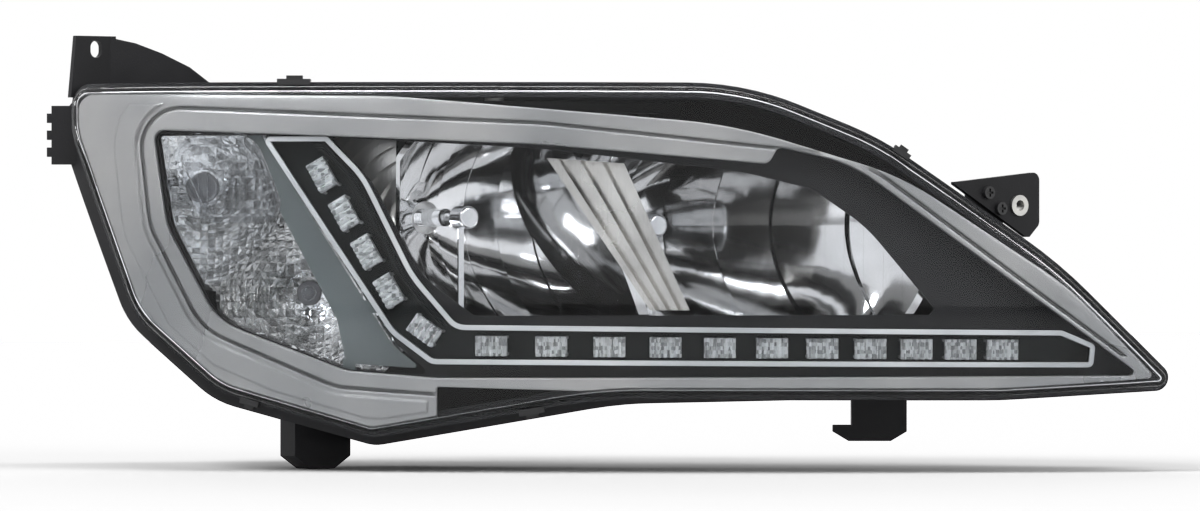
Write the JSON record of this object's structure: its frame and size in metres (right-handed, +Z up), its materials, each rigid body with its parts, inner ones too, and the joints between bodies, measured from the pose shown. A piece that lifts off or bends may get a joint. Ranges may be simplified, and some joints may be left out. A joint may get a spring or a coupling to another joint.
{
  "type": "car headlight",
  "caption": "Right-hand wrap-round headlight: clear lens on a black housing, silver surround, low and high beam reflectors on an aiming frame, daytime-light blade and turn-signal chamber.",
  "frame": {"origin": "centre of the bore of the inner fixing sleeve", "axes": "vehicle axes: -Y forward along the beams and out of the sleeve, +Z up, +X towards the vehicle's middle"},
  "size_m": [0.556, 0.5237, 0.2785],
  "materials": {
    "clear_polycarbonate": "polished clear",
    "black_housing": "fine moulded grain",
    "sealant": "matt",
    "spring_steel": "bright",
    "silver_satin": "satin metallic coat",
    "charcoal": "fine grain",
    "tray_grey": "satin",
    "reflector_coat": "vacuum-metallised",
    "clear_optic": "moulded prisms",
    "board_white": "solder mask",
    "led_yellow": "phosphor",
    "heat_sink": "die-cast",
    "smoked": "smoked",
    "steel": "zinc-plated",
    "drive_plastic": "moulded",
    "adjuster_white": "moulded",
    "bulb_glass": "clear",
    "brass_contact": "bright",
    "bulb_base": "pressed",
    "rubber": "matt",
    "black_cap": "moulded",
    "holder_grey": "moulded"
  },
  "bodies": {
    "lamp": {"outer_lens": "clear_polycarbonate", "lens_seal": "sealant", "lens_clips": "black_cap", "housing": "black_housing", "bezel": "silver_satin", "inner_panel": "charcoal", "drl_tray": "tray_grey", "drl_rim": "silver_satin", "drl_board": "board_white", "drl_optics": "clear_optic", "drl_leds": "led_yellow", "drl_heat_sink": "heat_sink", "turn_reflector": "reflector_coat", "turn_inner_lens": "clear_optic", "tinted_panel": "smoked", "pivot_stud": "steel", "levelling_motor": "drive_plastic", "inlet_connector": "black_cap", "inlet_pins": "brass_contact", "inner_bracket": "black_housing", "fixing_sleeve": "steel", "bracket_screws": "steel"},
    "aim_frame": {"aim_beam": "black_cap", "aim_pins": "steel"},
    "reflectors": {"low_reflector": "reflector_coat", "high_reflector": "reflector_coat", "fluted_panel": "reflector_coat", "divider": "reflector_coat", "low_glare_shield": "reflector_coat", "high_glare_shield": "reflector_coat", "low_bulb_glass": "bulb_glass", "low_bulb_base": "bulb_base", "high_bulb_glass": "bulb_glass", "high_bulb_base": "bulb_base"},
    "low_clip": {"low_bulb_clip": "spring_steel"},
    "high_clip": {"high_bulb_clip": "spring_steel"},
    "levelling_push_rod": {"levelling_rod": "adjuster_white"},
    "vertical_wheel": {"vertical_adjuster": "adjuster_white"},
    "side_wheel": {"side_adjuster": "adjuster_white"},
    "side_nut": {"adjuster_nut": "adjuster_white"},
    "low_cover": {"low_cap": "black_cap", "low_cap_gasket": "rubber"},
    "high_cover": {"high_cap": "black_cap", "high_cap_gasket": "rubber"},
    "turn_socket": {"turn_holder": "holder_grey", "turn_bulb": "bulb_glass"},
    "side_socket": {"side_holder": "holder_grey", "side_bulb": "bulb_glass"}
  },
  "joints": [
    {"name": "aim_yaw", "type": "hinge", "parent": "lamp", "child": "aim_frame", "pos_m": [-0.262, 0.205, 0.0632], "axis": [0, 0, 1], "range_deg": [-1.2, 1.2]},
    {"name": "aim_pitch", "type": "hinge", "parent": "aim_frame", "child": "reflectors", "pos_m": [-0.262, 0.205, 0.055], "axis": [1, 0, 0], "range_deg": [-1.5, 1.5]},
    {"name": "levelling_rod", "type": "slide", "parent": "lamp", "child": "levelling_push_rod", "axis": [0, 1, 0], "range_m": [-0.0038, 0.0038]},
    {"name": "vertical_adjuster_turn", "type": "hinge", "parent": "lamp", "child": "vertical_wheel", "pos_m": [-0.262, 0.39, -0.085], "axis": [0, 1, 0], "range_deg": [-1000, 1000]},
    {"name": "side_adjuster_turn", "type": "hinge", "parent": "lamp", "child": "side_wheel", "pos_m": [-0.128, 0.25, 0.05], "axis": [0, 1, 0], "range_deg": [-900, 900]},
    {"name": "adjuster_nut_slide", "type": "slide", "parent": "lamp", "child": "side_nut", "axis": [0, 1, 0], "range_m": [-0.003, 0.003]},
    {"name": "low_cap_twist", "type": "hinge", "parent": "lamp", "child": "low_cover", "pos_m": [-0.2813, 0.401, -0.0076], "axis": [0, 1, 0], "range_deg": [0, 25]},
    {"name": "high_cap_twist", "type": "hinge", "parent": "lamp", "child": "high_cover", "pos_m": [-0.183, 0.328, -0.0126], "axis": [0, 1, 0], "range_deg": [0, 25]},
    {"name": "turn_holder_twist", "type": "hinge", "parent": "lamp", "child": "turn_socket", "pos_m": [-0.34508, 0.41376, 0.012], "axis": [0.5736, 0.8192, 0], "range_deg": [0, 30]},
    {"name": "side_holder_pull", "type": "slide", "parent": "lamp", "child": "side_socket", "axis": [0.5736, 0.8192, 0], "range_m": [0, 0.025]},
    {"name": "low_clip_open", "type": "hinge", "parent": "reflectors", "child": "low_clip", "pos_m": [-0.2813, 0.27005, 0.0124], "axis": [1, 0, 0], "range_deg": [0, 100]},
    {"name": "high_clip_open", "type": "hinge", "parent": "reflectors", "child": "high_clip", "pos_m": [-0.183, 0.20115, 0.0074], "axis": [1, 0, 0], "range_deg": [0, 100]}
  ],
  "couplings": [
    {"joint": "levelling_rod", "follows": "aim_pitch", "m_per_rad": 0.14},
    {"joint": "vertical_adjuster_turn", "follows": "aim_pitch", "ratio": 586.43},
    {"joint": "adjuster_nut_slide", "follows": "aim_yaw", "m_per_rad": 0.134},
    {"joint": "side_adjuster_turn", "follows": "aim_yaw", "ratio": 561.3}
  ]
}
